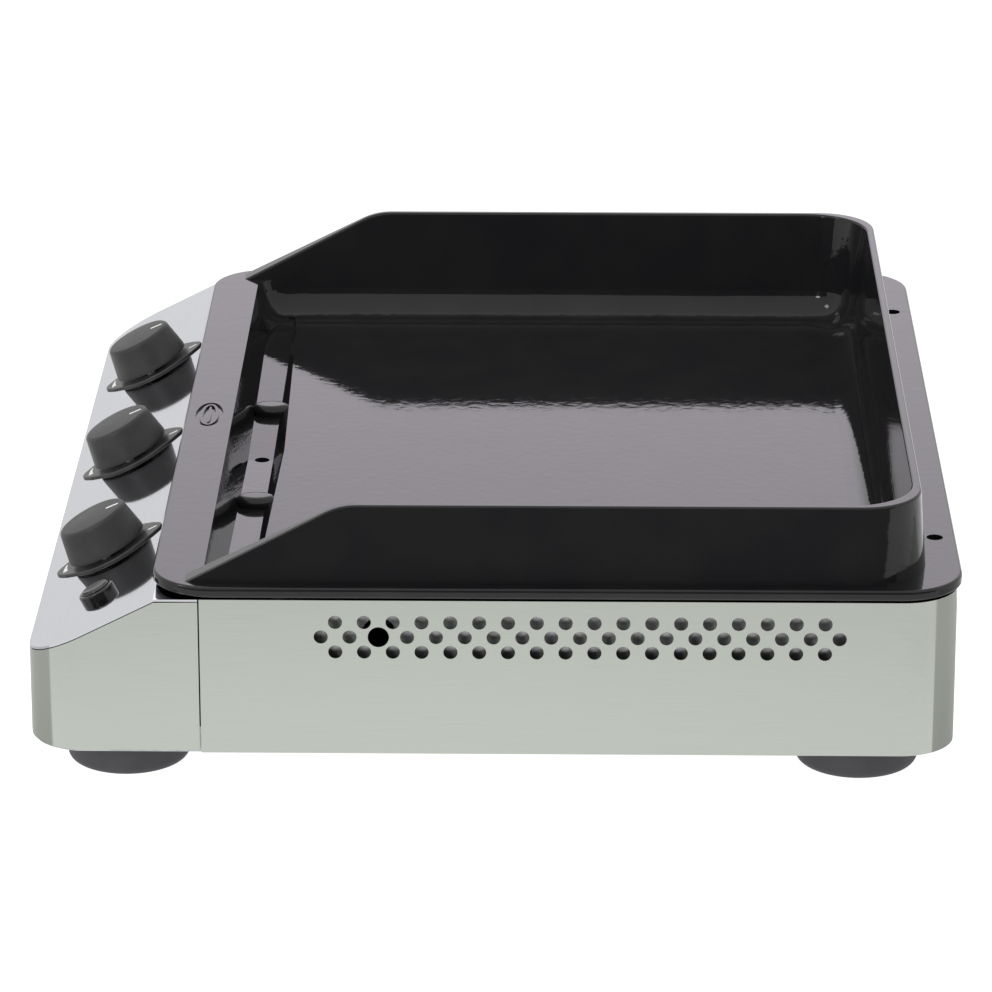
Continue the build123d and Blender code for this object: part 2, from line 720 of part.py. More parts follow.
for name, x in zip(knob_names, knob_places):
    face = panel_plane(x)
    with BuildPart() as bezel:
        with BuildSketch(face):
            Circle(bezel_radius)
            with Locations((0, bezel_radius - 2), (0, 2 - bezel_radius)):
                Rectangle(bezel_waist, bezel_ear_radius)
            with Locations((0, bezel_ear_tip - bezel_ear_radius), (0, bezel_ear_radius - bezel_ear_tip)):
                Circle(bezel_ear_radius)
            make_hull()
            Circle(panel_hole / 2, mode=Mode.SUBTRACT)
            with Locations((-valve_screw_x, 0), (valve_screw_x, 0)):
                Circle(valve_screw_radius + screw_fit, mode=Mode.SUBTRACT)
        extrude(amount=bezel_thickness)
        chamfer(faces().sort_by(Axis(face.origin, face.z_dir))[-1].outer_wire().edges(), bezel_bevel)
    finish(bezel, "bezel_" + name)

    with BuildPart() as knob:
        profile_plane = Plane(origin=face.origin, x_dir=face.x_dir, z_dir=-face.y_dir)
        with BuildSketch(profile_plane):
            with BuildLine():
                outer = Polyline(
                    (0, knob_bottom),
                    (knob_base_radius, knob_bottom),
                    (knob_base_radius, knob_bottom + knob_skirt),
                    (knob_top_radius, knob_top - knob_crown),
                )
                TangentArc((0, knob_top), outer @ 1, tangent=(1, 0))
                Line((0, knob_top), (0, knob_bottom))
            make_face()
            fillet(vertices().sort_by_distance(outer @ 1)[0], knob_edge)
        revolve(axis=Axis(face.origin, face.z_dir))
        inner_top = knob_top - knob_crown - 2 * knob_wall
        with BuildSketch(face.offset(knob_bottom)):
            Circle(knob_top_radius - knob_wall)
            Circle(knob_boss, mode=Mode.SUBTRACT)
        extrude(amount=inner_top - knob_bottom, mode=Mode.SUBTRACT)
        with BuildSketch(face.offset(knob_bottom)):
            round_with_flat(spindle_hole, spindle_flat + spindle_fit)
        extrude(amount=spindle_top + knob_travel + running_gap - knob_bottom, mode=Mode.SUBTRACT)
    finish(knob, "knob_" + name)

    with BuildPart() as spindle:
        with BuildSketch(face.offset(-spindle_depth)):
            Circle(spindle_radius)
        extrude(amount=spindle_depth + 1)
        with BuildSketch(face):
            round_with_flat(spindle_radius, spindle_flat)
        extrude(amount=spindle_top)
    finish(spindle, "spindle_" + name)

    with BuildPart() as valve:
        with BuildSketch(face.offset(-valve_depth)):
            RectangleRounded(valve_width, valve_width, 4)
        extrude(amount=valve_depth - valve_neck_length)
        with BuildSketch(face.offset(-valve_neck_length)):
            Circle(valve_neck / 2)
        extrude(amount=valve_neck_length - sheet)
        with BuildSketch(face.offset(-sheet - valve_plate)):
            RectangleRounded(2 * valve_screw_x + 5 * valve_screw_radius, valve_neck, 4)
        extrude(amount=valve_plate)
        centre = panel_point(x, 0, -outlet_depth)
        with BuildSketch(Plane.XZ.offset(-centre.Y)):
            with Locations((x, burner_z)):
                Circle(outlet_radius)
        extrude(amount=centre.Y - outlet_end_y)
        with BuildSketch(face.offset(-spindle_depth - running_gap)):
            Circle(spindle_hole)
        extrude(amount=spindle_depth + running_gap, mode=Mode.SUBTRACT)
        with BuildSketch(face.offset(-sheet - valve_plate)):
            with Locations((-valve_screw_x, 0), (valve_screw_x, 0)):
                Circle(valve_screw_radius + spindle_fit)
        extrude(amount=valve_plate, mode=Mode.SUBTRACT)
    finish(valve, "gas_valve_" + name)

with BuildPart() as valve_screws:
    for x in knob_places:
        with BuildSketch(panel_plane(x, bezel_thickness)):
            with Locations((-valve_screw_x, 0), (valve_screw_x, 0)):
                Circle(1.6 * valve_screw_radius)
        extrude(amount=0.9 * valve_screw_radius)
        with BuildSketch(panel_plane(x, -sheet - valve_plate)):
            with Locations((-valve_screw_x, 0), (valve_screw_x, 0)):
                Circle(valve_screw_radius)
        extrude(amount=sheet + valve_plate + bezel_thickness)
finish(valve_screws, "valve_screws")

# ---- push igniter ----
igniter_face = panel_plane(igniter_x)
igniter_axis = Axis(igniter_face.origin, igniter_face.z_dir)
well_radius = button_radius + button_fit
with BuildPart() as igniter_body:
    with BuildSketch(igniter_face):
        Circle(igniter_ring_radius)
    extrude(amount=igniter_ring_height)
    fillet(edges().sort_by(igniter_axis)[-1], 1.2)
    with BuildSketch(igniter_face.offset(-igniter_depth)):
        Circle(igniter_barrel_radius)
    extrude(amount=igniter_depth)
    with BuildSketch(igniter_face.offset(-button_travel - igniter_well)):
        Circle(well_radius)
    extrude(amount=igniter_ring_height + button_travel + igniter_well, mode=Mode.SUBTRACT)
finish(igniter_body, "igniter_body")

with BuildPart() as igniter_button:
    with BuildSketch(igniter_face.offset(running_gap - igniter_well)):
        Circle(button_radius)
    extrude(amount=button_proud + igniter_well - running_gap)
    fillet(edges().sort_by(igniter_axis)[-1], 0.9)
    with Locations(igniter_face.offset(button_proud + button_dish_radius - button_dish_depth)):
        Sphere(button_dish_radius, mode=Mode.SUBTRACT)
finish(igniter_button, "igniter_button")

with BuildPart() as igniter_nut:
    with BuildSketch(igniter_face.offset(-sheet - igniter_nut_height)):
        RegularPolygon(1.5 * igniter_barrel_radius, 6)
        Circle(igniter_barrel_radius + spindle_fit, mode=Mode.SUBTRACT)
    extrude(amount=igniter_nut_height)
finish(igniter_nut, "igniter_nut")

# ---- gas manifold along the valves, feed pipe and rear inlet ----
manifold_centre = panel_point(0, valve_width / 2 + manifold_radius, -manifold_depth)
with BuildPart() as gas_manifold:
    with BuildSketch(Plane.YZ.offset(-manifold_half)):
        with Locations((manifold_centre.Y, manifold_centre.Z)):
            Circle(manifold_radius)
            Circle(manifold_radius - manifold_wall, mode=Mode.SUBTRACT)
    extrude(amount=2 * manifold_half)
    with BuildSketch(Plane.YZ.offset(manifold_half - manifold_radius / 2)):
        with Locations((manifold_centre.Y, manifold_centre.Z)):
            Circle(manifold_radius)
    extrude(amount=manifold_radius / 2)
finish(gas_manifold, "gas_manifold")

clamp_radius = manifold_radius + 0.1
with BuildPart() as manifold_clamps:
    for x in knob_places:
        centre = (valve_width / 2 + manifold_radius, -manifold_depth)
        legs = (centre[0] - manifold_radius / 2, -manifold_depth)
        side_plane = Plane(
            origin=panel_point(x - clamp_width / 2, 0, 0), x_dir=(0, slope_cos, slope_sin), z_dir=(1, 0, 0)
        )
        with BuildSketch(side_plane):
            with Locations(centre):
                Circle(clamp_radius + clamp_wall)
            with Locations(legs):
                Rectangle(manifold_radius, 2 * (clamp_radius + clamp_wall))
            with Locations(centre):
                Circle(clamp_radius, mode=Mode.SUBTRACT)
            with Locations(legs):
                Rectangle(manifold_radius, 2 * clamp_radius, mode=Mode.SUBTRACT)
            with Locations((0, -manifold_depth)):
                Rectangle(valve_width, 4 * clamp_radius, mode=Mode.SUBTRACT)
        extrude(amount=clamp_width)
finish(manifold_clamps, "manifold_clamps")

feed_x = feed_inset - body_half
feed_turn_y = inlet_plate_y - inlet_body - 2 * feed_bend
with BuildPart() as feed_pipe:
    with BuildLine():
        FilletPolyline(
            (-manifold_half, manifold_centre.Y, manifold_centre.Z),
            (feed_x, manifold_centre.Y, manifold_centre.Z),
            (feed_x, manifold_centre.Y + 50, inlet_z),
            (feed_x, feed_turn_y, inlet_z),
            (inlet_x, feed_turn_y, inlet_z),
            (inlet_x, inlet_plate_y - inlet_body, inlet_z),
            radius=feed_bend,
        )
    feed_start = (-manifold_half, manifold_centre.Y, manifold_centre.Z)
    with BuildSketch(Plane(origin=feed_start, z_dir=(-1, 0, 0))):
        Circle(feed_radius)
    sweep()
finish(feed_pipe, "feed_pipe")

with BuildPart() as gas_inlet:
    with BuildSketch(Plane.XZ.offset(inlet_body - inlet_plate_y)):
        with Locations((inlet_x, inlet_z)):
            RegularPolygon(1.3 * inlet_radius, 6)
    extrude(amount=-inlet_body)
    with BuildSketch(Plane.XZ.offset(-inlet_plate_y)):
        with Locations((inlet_x, inlet_z)):
            Circle(inlet_radius)
    extrude(amount=-inlet_plate - inlet_shoulder - inlet_thread)
    chamfer(edges().sort_by(Axis.Y)[-1], 1)
    with BuildSketch(Plane.XZ.offset(-inlet_plate_y - inlet_plate)):
        with Locations((inlet_x, inlet_z)):
            RegularPolygon(1.3 * inlet_radius, 6)
    extrude(amount=-inlet_shoulder)
    with BuildSketch(Plane.XZ.offset(-inlet_plate_y)):
        with Locations((inlet_x, inlet_z)):
            Circle(inlet_radius - inlet_bore_wall)
    extrude(amount=-inlet_plate - inlet_shoulder - inlet_thread, mode=Mode.SUBTRACT)
finish(gas_inlet, "gas_inlet")

with BuildPart() as inlet_bracket:
    plate_height = inlet_z + 1.8 * inlet_radius - pan_top
    with BuildSketch(Plane.XZ.offset(-inlet_plate_y)):
        with Locations((inlet_x, pan_top + plate_height / 2)):
            Rectangle(inlet_plate_width, plate_height)
        with Locations((inlet_x, inlet_z)):
            Circle(inlet_radius + spindle_fit, mode=Mode.SUBTRACT)
    extrude(amount=-inlet_plate)
    with BuildSketch(Plane.XY.offset(pan_top)):
        with Locations((inlet_x, inlet_plate_y - bracket_foot / 2)):
            Rectangle(inlet_plate_width, bracket_foot)
    extrude(amount=inlet_plate)
finish(inlet_bracket, "inlet_bracket")

# ---- jets and burners ----
with BuildPart() as gas_jets:
    for x in knob_places:
        with BuildSketch(Plane.XZ.offset(-outlet_end_y)):
            with Locations((x, burner_z)):
                RegularPolygon(jet_flats, 6)
        extrude(amount=-jet_base)
        with BuildSketch(Plane.XZ.offset(-outlet_end_y - jet_base)):
            with Locations((x, burner_z)):
                Circle(jet_tip)
        extrude(amount=-jet_length)
finish(gas_jets, "gas_jets")

for name, x in zip(knob_names, knob_places):
    with BuildPart() as burner:
        with BuildSketch(Plane.YZ.offset(x)):
            with BuildLine():
                tube_line = Polyline(
                    (burner_front_y, burner_z + burner_mouth_radius),
                    (burner_front_y + 10, burner_z + burner_mouth_radius),
                    (burner_front_y + 30, burner_z + burner_throat_radius),
                    (burner_front_y + 50, burner_z + burner_throat_radius),
                    (burner_front_y + 90, burner_z + burner_radius),
                    (burner_rear_y, burner_z + burner_radius),
                )
                offset(tube_line, amount=burner_wall, side=Side.RIGHT)
            make_face()
        revolve(axis=Axis((x, 0, burner_z), (0, 1, 0)))
        with BuildSketch(Plane.XZ.offset(1.5 * burner_cap - burner_rear_y)):
            with Locations((x, burner_z)):
                Circle(burner_radius - burner_wall / 2)
        extrude(amount=burner_cap)
        port_mid = port_first_y + (port_count - 1) * port_pitch / 2
        for side in (-1, 1):
            lean = math.radians(side * port_angle)
            up = (math.sin(lean), 0, math.cos(lean))
            with BuildSketch(Plane(origin=(x, port_mid, burner_z), x_dir=(0, 1, 0), z_dir=up)):
                with GridLocations(port_pitch, 1, port_count, 1):
                    Circle(port_diameter / 2)
            extrude(amount=2 * burner_radius, mode=Mode.SUBTRACT)
    finish(burner, "burner_" + name)


def burner_bracket(y, electrode_holes):
    """A cross bracket on the base pan with a hole for each burner."""
    with BuildPart() as bracket:
        with BuildSketch(Plane.XZ.offset(-y)):
            with Locations((0, (pan_top + bracket_top) / 2)):
                Rectangle(2 * bracket_half, bracket_top - pan_top)
            for x in knob_places:
                with Locations((x, burner_z)):
                    Circle(burner_radius + burner_fit, mode=Mode.SUBTRACT)
                if electrode_holes:
                    with Locations((x + electrode_offset, electrode_z)):
                        Circle(electrode_radius + electrode_fit, mode=Mode.SUBTRACT)
            for x in (-burner_x / 2, burner_x / 2):
                with Locations((x, (pan_top + bracket_top) / 2)):
                    SlotOverall(bracket_slot_length, bracket_slot_width, mode=Mode.SUBTRACT)
        extrude(amount=-bracket_sheet)
        with BuildSketch(Plane.XY.offset(pan_top)):
            with Locations((0, y + bracket_foot / 2)):
                Rectangle(2 * bracket_half, bracket_foot)
        extrude(amount=bracket_sheet)
    return bracket


finish(burner_bracket(bracket_front_y, True), "burner_bracket_front")
finish(burner_bracket(bracket_rear_y, False), "burner_bracket_rear")

bolt_half = burner_x + bracket_bolt_reach
bracket_bolts = [
    (x, y + 0.65 * bracket_foot)
    for x in (-bolt_half, 0.0, bolt_half)
    for y in (bracket_front_y, bracket_rear_y)
]
with BuildPart() as bracket_screws:
    with BuildSketch(Plane.XY.offset(pan_top + bracket_sheet)):
        with Locations(*bracket_bolts):
            RegularPolygon(3.6, 6)
    extrude(amount=2.4)
finish(bracket_screws, "bracket_screws")

with BuildPart() as heat_shield:
    with BuildSketch(Plane.XY.offset(shield_z)):
        with Locations((0, (shield_front + shield_rear) / 2)):
            RectangleRounded(2 * shield_half, shield_rear - shield_front, 8)
    extrude(amount=shield_sheet)
    with BuildSketch(Plane.XY.offset(pan_top)):
        with Locations((0, (shield_front + shield_rear) / 2)):
            leg_depth = shield_rear - shield_front - 5 * shield_leg
            with GridLocations(2 * shield_half - 2.5 * shield_leg, leg_depth, 2, 2):
                Rectangle(shield_sheet, shield_leg)
    extrude(amount=shield_z - pan_top)
finish(heat_shield, "heat_shield")

# ---- ignition ----
electrode_back = bracket_front_y - electrode_length / 2
with BuildPart() as electrodes:
    for x in knob_places:
        with BuildSketch(Plane.XZ.offset(-electrode_back)):
            with Locations((x + electrode_offset, electrode_z)):
                Circle(electrode_radius)
        extrude(amount=-electrode_length)
        with BuildSketch(Plane.XZ.offset(-electrode_back - electrode_length)):
            with Locations((x + electrode_offset, electrode_z)):
                Circle(spark_wire)
        extrude(amount=-spark_reach)
finish(electrodes, "electrodes")

with BuildPart() as ignition_leads:
    for index, x in enumerate(reversed(knob_places)):
        terminal = panel_point(igniter_x + 4 * (index - 1), 0, -igniter_depth)
        below = panel_point(igniter_x + 4 * (index - 1), 0, -igniter_depth - 12)
        lane = body_top - lead_lane_drops[index]
        turn_x = x + electrode_offset
        with BuildLine():
            FilletPolyline(
                tuple(terminal),
                tuple(below),
                (below.X, lead_lane_y, below.Z),
                (below.X, lead_lane_y, lane),
                (turn_x, lead_lane_y, lane),
                (turn_x, lead_lane_y, electrode_z),
                (turn_x, electrode_back, electrode_z),
                radius=lead_bend,
            )
        with BuildSketch(Plane(origin=tuple(terminal), z_dir=(0, slope_sin, -slope_cos))):
            Circle(lead_radius)
        sweep()
finish(ignition_leads, "ignition_leads")

# ---- drip tray, its front and its runners ----
tray_front_inner = body_front + sheet
with BuildPart() as drip_tray:
    with BuildSketch(Plane.XY.offset(tray_bottom)):
        with Locations((0, (tray_front_inner + tray_rear) / 2)):
            Rectangle(2 * tray_half, tray_rear - tray_front_inner)
    extrude(amount=tray_height)
    with BuildSketch(Plane.XY.offset(tray_bottom + tray_wall)):
        with Locations((0, (tray_front_inner + tray_rear) / 2)):
            RectangleRounded(
                2 * (tray_half - tray_wall), tray_rear - tray_front_inner - 2 * tray_wall, tray_corner
            )
    extrude(amount=tray_height, mode=Mode.SUBTRACT)
finish(drip_tray, "drip_tray")

with BuildPart() as tray_front:
    with BuildSketch(Plane.XZ.offset(-tray_front_inner)):
        with Locations((0, (tray_front_bottom + tray_front_top) / 2)):
            RectangleRounded(2 * tray_front_half, tray_front_top - tray_front_bottom, 1.5)
        with Locations((0, tray_front_top)):
            Circle(notch_radius, mode=Mode.SUBTRACT)
    extrude(amount=sheet)
finish(tray_front, "tray_front")

runner_guide = tray_half + running_gap
with BuildPart() as tray_runners:
    for side in (-1, 1):
        with BuildSketch(Plane.XZ.offset(-tray_front_inner - 4)):
            with BuildLine():
                Polyline(
                    (side * runner_inner, pan_top),
                    (side * (runner_guide + runner_sheet), pan_top),
                    (side * (runner_guide + runner_sheet), tray_bottom + tray_height / 2),
                    (side * runner_guide, tray_bottom + tray_height / 2),
                    (side * runner_guide, tray_bottom - running_gap),
                    (side * runner_inner, tray_bottom - running_gap),
                    close=True,
                )
            make_face()
        extrude(amount=tray_front_inner + 4 - tray_rear)
finish(tray_runners, "tray_runners")
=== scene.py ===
import bpy
import bmesh
import json
import math
from mathutils import Matrix, Vector
from mathutils.bvhtree import BVHTree


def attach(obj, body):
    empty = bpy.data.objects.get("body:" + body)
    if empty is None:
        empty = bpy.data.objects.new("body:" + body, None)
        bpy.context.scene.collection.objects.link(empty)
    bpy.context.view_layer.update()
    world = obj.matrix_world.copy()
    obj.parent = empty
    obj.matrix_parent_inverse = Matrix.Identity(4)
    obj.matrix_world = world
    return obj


# Looks of a table-top gas griddle: black enamelled plate on a polished stainless body.
# Metres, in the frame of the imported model: +X is the cook's right, -Y the front, +Z up.

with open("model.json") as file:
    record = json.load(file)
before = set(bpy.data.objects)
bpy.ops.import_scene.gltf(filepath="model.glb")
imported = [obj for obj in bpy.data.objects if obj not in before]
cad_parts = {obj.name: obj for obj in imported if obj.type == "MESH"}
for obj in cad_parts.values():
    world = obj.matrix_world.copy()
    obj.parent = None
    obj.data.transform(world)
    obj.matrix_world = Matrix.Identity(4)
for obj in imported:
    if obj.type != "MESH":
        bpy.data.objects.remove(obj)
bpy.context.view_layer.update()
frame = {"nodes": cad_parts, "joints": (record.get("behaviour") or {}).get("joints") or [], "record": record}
MM = 0.001


def srgb(code):
    """An sRGB hex colour as linear RGBA."""
    values = [int(code[i:i + 2], 16) / 255 for i in (0, 2, 4)]
    linear = [v / 12.92 if v <= 0.04045 else ((v + 0.055) / 1.055) ** 2.4 for v in values]
    return (*linear, 1.0)


def add(tree, kind, sockets=None, **settings):
    """Adds a node. A socket takes a link from another socket, a hex colour, or a plain value."""
    node = tree.nodes.new("ShaderNode" + kind)
    for name, value in settings.items():
        setattr(node, name, value)
    for key, value in (sockets or {}).items():
        if isinstance(value, bpy.types.NodeSocket):
            tree.links.new(value, node.inputs[key])
        else:
            node.inputs[key].default_value = srgb(value) if isinstance(value, str) else value
    return node


def empty_material(name):
    """A material with no nodes yet, and its tree."""
    made = bpy.data.materials.new(name)
    made.use_nodes = True
    made.node_tree.nodes.clear()
    return made, made.node_tree


# ---- cast-iron plate ----
def vitreous_enamel():
    """Black vitreous enamel, fired on cast iron. The eye sees a deep gloss: a fine orange-peel ripple that
    frays the edge of every reflection, a slower flow where the glass ran, and faint brown in the black."""
    made, tree = empty_material("black_vitreous_enamel")
    at = add(tree, "TexCoord").outputs["Object"]
    flow = add(tree, "TexNoise", {"Vector": at, "Scale": 1 / (34 * MM), "Detail": 1.0}).outputs["Fac"]
    peel = add(tree, "TexNoise", {"Vector": at, "Scale": 1 / (6 * MM), "Detail": 3.0}).outputs["Fac"]
    pits = add(tree, "TexNoise", {"Vector": at, "Scale": 1 / (1.1 * MM), "Detail": 1.0}).outputs["Fac"]
    tone = add(tree, "MapRange", {"Value": flow, "From Min": 0.35, "From Max": 0.65})
    colour = add(tree, "Mix", {0: tone.outputs[0], 6: "171618", 7: "1B1A1B"}, data_type="RGBA")
    gloss = add(tree, "MapRange", {"Value": peel, "From Min": 0.3, "From Max": 0.7,
                                   "To Min": 0.035, "To Max": 0.065})
    slow = add(tree, "Bump", {"Strength": 1.0, "Distance": 0.035 * MM, "Height": flow})
    fine = add(tree, "Bump", {"Strength": 1.0, "Distance": 0.06 * MM, "Height": peel,
                              "Normal": slow.outputs["Normal"]})
    grit = add(tree, "Bump", {"Strength": 1.0, "Distance": 0.0008 * MM, "Height": pits,
                              "Normal": fine.outputs["Normal"]})
    shader = add(tree, "BsdfPrincipled", {"Base Color": colour.outputs[2], "Roughness": gloss.outputs[0],
                                          "IOR": 1.36, "Normal": grit.outputs["Normal"]})
    add(tree, "OutputMaterial", {"Surface": shader.outputs[0]})
    return made


# ---- sheet metal ----
def polished_stainless(name, low, high, rough, wave_depth, grain):
    """Stainless sheet, ground and polished. The eye sees soft mirror images, a faint lengthways grain from
    the belt, and slow waves that bend the reflections near folds. The grain is 0.7 mm apart so that it shows."""
    made, tree = empty_material(name)
    at = add(tree, "TexCoord").outputs["Object"]
    along = add(tree, "Mapping", {"Vector": at, "Scale": tuple(1 / (s * MM) for s in grain)}).outputs[0]
    lines = add(tree, "TexNoise", {"Vector": along, "Scale": 1 / 0.7, "Detail": 3.0,
                                   "Roughness": 0.6}).outputs["Fac"]
    wave = add(tree, "TexNoise", {"Vector": at, "Scale": 1 / (130 * MM), "Detail": 1.0}).outputs["Fac"]
    hands = add(tree, "TexNoise", {"Vector": at, "Scale": 1 / (45 * MM), "Detail": 3.0}).outputs["Fac"]
    tone = add(tree, "MapRange", {"Value": lines, "From Min": 0.35, "From Max": 0.65})
    colour = add(tree, "Mix", {0: tone.outputs[0], 6: low, 7: high}, data_type="RGBA")
    drift = add(tree, "MapRange", {"Value": hands, "From Min": 0.3, "From Max": 0.7,
                                   "To Min": rough * 0.85, "To Max": rough * 1.2})
    uneven = add(tree, "Math", {0: lines, 1: 0.04, 2: drift.outputs[0]}, operation="MULTIPLY_ADD")
    slow = add(tree, "Bump", {"Strength": 1.0, "Distance": wave_depth * MM, "Height": wave})
    fine = add(tree, "Bump", {"Strength": 1.0, "Distance": 0.0005 * MM, "Height": lines,
                              "Normal": slow.outputs["Normal"]})
    shader = add(tree, "BsdfPrincipled", {"Base Color": colour.outputs[2], "Metallic": 1.0,
                                          "Roughness": uneven.outputs[0], "Normal": fine.outputs["Normal"]})
    add(tree, "OutputMaterial", {"Surface": shader.outputs[0]})
    return made


def worked_metal(name, low, high, rough, stretch, line_mm):
    """Plain metal as it left the die, the lathe or the rolls. The eye sees its lines run one way over a
    slightly mottled tone."""
    made, tree = empty_material(name)
    at = add(tree, "TexCoord").outputs["Object"]
    along = add(tree, "Mapping", {"Vector": at, "Scale": tuple(1 / (s * MM) for s in stretch)}).outputs[0]
    lines = add(tree, "TexNoise", {"Vector": along, "Scale": 1 / line_mm, "Detail": 3.0}).outputs["Fac"]
    mottle = add(tree, "TexNoise", {"Vector": at, "Scale": 1 / (7 * MM), "Detail": 4.0}).outputs["Fac"]
    tone = add(tree, "MapRange", {"Value": mottle, "From Min": 0.3, "From Max": 0.7})
    colour = add(tree, "Mix", {0: tone.outputs[0], 6: low, 7: high}, data_type="RGBA")
    uneven = add(tree, "MapRange", {"Value": lines, "From Min": 0.3, "From Max": 0.7,
                                    "To Min": rough * 0.8, "To Max": rough * 1.25})
    marks = add(tree, "Bump", {"Strength": 1.0, "Distance": 0.006 * MM, "Height": lines})
    shader = add(tree, "BsdfPrincipled", {"Base Color": colour.outputs[2], "Metallic": 1.0,
                                          "Roughness": uneven.outputs[0], "Normal": marks.outputs["Normal"]})
    add(tree, "OutputMaterial", {"Surface": shader.outputs[0]})
    return made


def fired_burner_tube():
    """Stainless burner tube after a few firings. The eye sees straw and blue heat tint in bands along dull
    brushed steel."""
    made, tree = empty_material("heat_tinted_burner_steel")
    at = add(tree, "TexCoord").outputs["Object"]
    along = add(tree, "Mapping", {"Vector": at, "Scale": (1 / MM, 1 / (40 * MM), 1 / MM)}).outputs[0]
    lines = add(tree, "TexNoise", {"Vector": along, "Scale": 1 / 0.8, "Detail": 3.0}).outputs["Fac"]
    heat = add(tree, "TexNoise", {"Vector": at, "Scale": 1 / (60 * MM), "Detail": 2.0}).outputs["Fac"]
    straw = add(tree, "MapRange", {"Value": heat, "From Min": 0.35, "From Max": 0.6})
    blue = add(tree, "MapRange", {"Value": heat, "From Min": 0.55, "From Max": 0.75, "To Max": 0.8})
    first = add(tree, "Mix", {0: straw.outputs[0], 6: "8F8B84", 7: "8A6F4A"}, data_type="RGBA")
    second = add(tree, "Mix", {0: blue.outputs[0], 6: first.outputs[2], 7: "4B5068"}, data_type="RGBA")
    uneven = add(tree, "MapRange", {"Value": lines, "From Min": 0.3, "From Max": 0.7,
                                    "To Min": 0.32, "To Max": 0.48})
    marks = add(tree, "Bump", {"Strength": 1.0, "Distance": 0.008 * MM, "Height": lines})
    shader = add(tree, "BsdfPrincipled", {"Base Color": second.outputs[2], "Metallic": 1.0,
                                          "Roughness": uneven.outputs[0], "Normal": marks.outputs["Normal"]})
    add(tree, "OutputMaterial", {"Surface": shader.outputs[0]})
    return made


# ---- plastics, rubber, ceramic and ink ----
def moulded(name, low, high, rough, ior, grain_mm, grain_depth):
    """Moulded plastic or rubber with the texture of its mould. The eye sees a fine even grain that breaks
    the highlight, and a tone that drifts a little where the part is handled."""
    made, tree = empty_material(name)
    at = add(tree, "TexCoord").outputs["Object"]
    cells = add(tree, "TexVoronoi", {"Vector": at, "Scale": 1 / (grain_mm * MM), "Smoothness": 0.6},
                feature="SMOOTH_F1")
    cloud = add(tree, "TexNoise", {"Vector": at, "Scale": 1 / (14 * MM), "Detail": 3.0}).outputs["Fac"]
    tone = add(tree, "MapRange", {"Value": cloud, "From Min": 0.3, "From Max": 0.7})
    colour = add(tree, "Mix", {0: tone.outputs[0], 6: low, 7: high}, data_type="RGBA")
    uneven = add(tree, "MapRange", {"Value": cloud, "From Min": 0.3, "From Max": 0.7,
                                    "To Min": rough * 0.9, "To Max": rough * 1.12})
    grain = add(tree, "Bump", {"Strength": 1.0, "Distance": grain_depth * MM,
                               "Height": cells.outputs["Distance"]})
    shader = add(tree, "BsdfPrincipled", {"Base Color": colour.outputs[2], "Roughness": uneven.outputs[0],
                                          "IOR": ior, "Normal": grain.outputs["Normal"]})
    add(tree, "OutputMaterial", {"Surface": shader.outputs[0]})
    return made


enamel = vitreous_enamel()
panel_steel = polished_stainless("mirror_polished_stainless", "BCBCC2", "BFBFC5", 0.03, 0.03, (60, 1, 1))
body_steel = polished_stainless("bright_polished_stainless", "A5A9A3", "A8ACA5", 0.09, 0.02, (1, 60, 1))
tray_steel = polished_stainless("folded_stainless_sheet", "A9ACA8", "B4B6B2", 0.22, 0.03, (1, 40, 1))
zinc = worked_metal("zinc_plated_steel", "9C9FA2", "B2B4B5", 0.34, (30, 1, 1), 0.8)
aluminium = worked_metal("drawn_aluminium_tube", "B4B5B7", "C6C7C8", 0.30, (40, 1, 1), 0.6)
brass = worked_metal("turned_brass", "B08B45", "C9A45C", 0.26, (1, 1, 12), 0.5)
die_cast = worked_metal("die_cast_aluminium", "8C8D8E", "A2A3A4", 0.45, (1, 1, 1), 1.2)
aluminised = worked_metal("aluminised_sheet", "A5A6A6", "BFC0C0", 0.38, (1, 1, 1), 5.0)
burner_steel = fired_burner_tube()
knob_plastic = moulded("spark_textured_abs", "2C2C2C", "353535", 0.42, 1.28, 0.8, 0.10)
bezel_plastic = moulded("satin_black_abs", "262626", "303030", 0.36, 1.5, 0.9, 0.015)
igniter_plastic = moulded("gloss_black_abs", "111111", "191919", 0.14, 1.5, 1.6, 0.004)
foot_rubber = moulded("moulded_rubber", "2F2E32", "39383C", 0.62, 1.45, 1.1, 0.05)
silicone = moulded("silicone_sleeve", "7E1F18", "8E2A20", 0.50, 1.41, 1.5, 0.01)
ceramic = moulded("glazed_ceramic", "DAD5CA", "E6E2D9", 0.16, 1.5, 3.0, 0.004)
white_ink = moulded("white_printed_ink", "D2D2CD", "E6E6E1", 0.50, 1.5, 0.5, 0.004)

finish_of_slot = {
    "black_enamel": enamel,
    "panel_steel": panel_steel,
    "sheet_steel": body_steel,
    "tray_steel": tray_steel,
    "zinc_steel": zinc,
    "aluminium_tube": aluminium,
    "brass": brass,
    "valve_metal": die_cast,
    "aluminised_sheet": aluminised,
    "burner_steel": burner_steel,
    "knob_plastic": knob_plastic,
    "black_trim": bezel_plastic,
    "gloss_black": igniter_plastic,
    "feet_rubber": foot_rubber,
    "lead_silicone": silicone,
    "ceramic": ceramic,
}
for subpart in frame["record"]["subparts"]:
    node = frame["nodes"][subpart["node"]]
    node.data.materials.clear()
    node.data.materials.append(finish_of_slot[subpart["material_slot"]])


# ---- printed marks on the knobs and bezels ----
joints = {joint["name"]: joint for joint in frame["joints"]}
INK = 0.06 * MM


def square_to_knob(joint):
    """The plane square to a knob's axis: x to the right, y up the slope, z away from the panel."""
    axis = Vector(joint["axis"]).normalized()
    across = Vector((1, 0, 0))
    turn = Matrix((across, axis.cross(across), axis)).transposed().to_4x4()
    return Matrix.Translation(Vector(joint["pos_m"])) @ turn


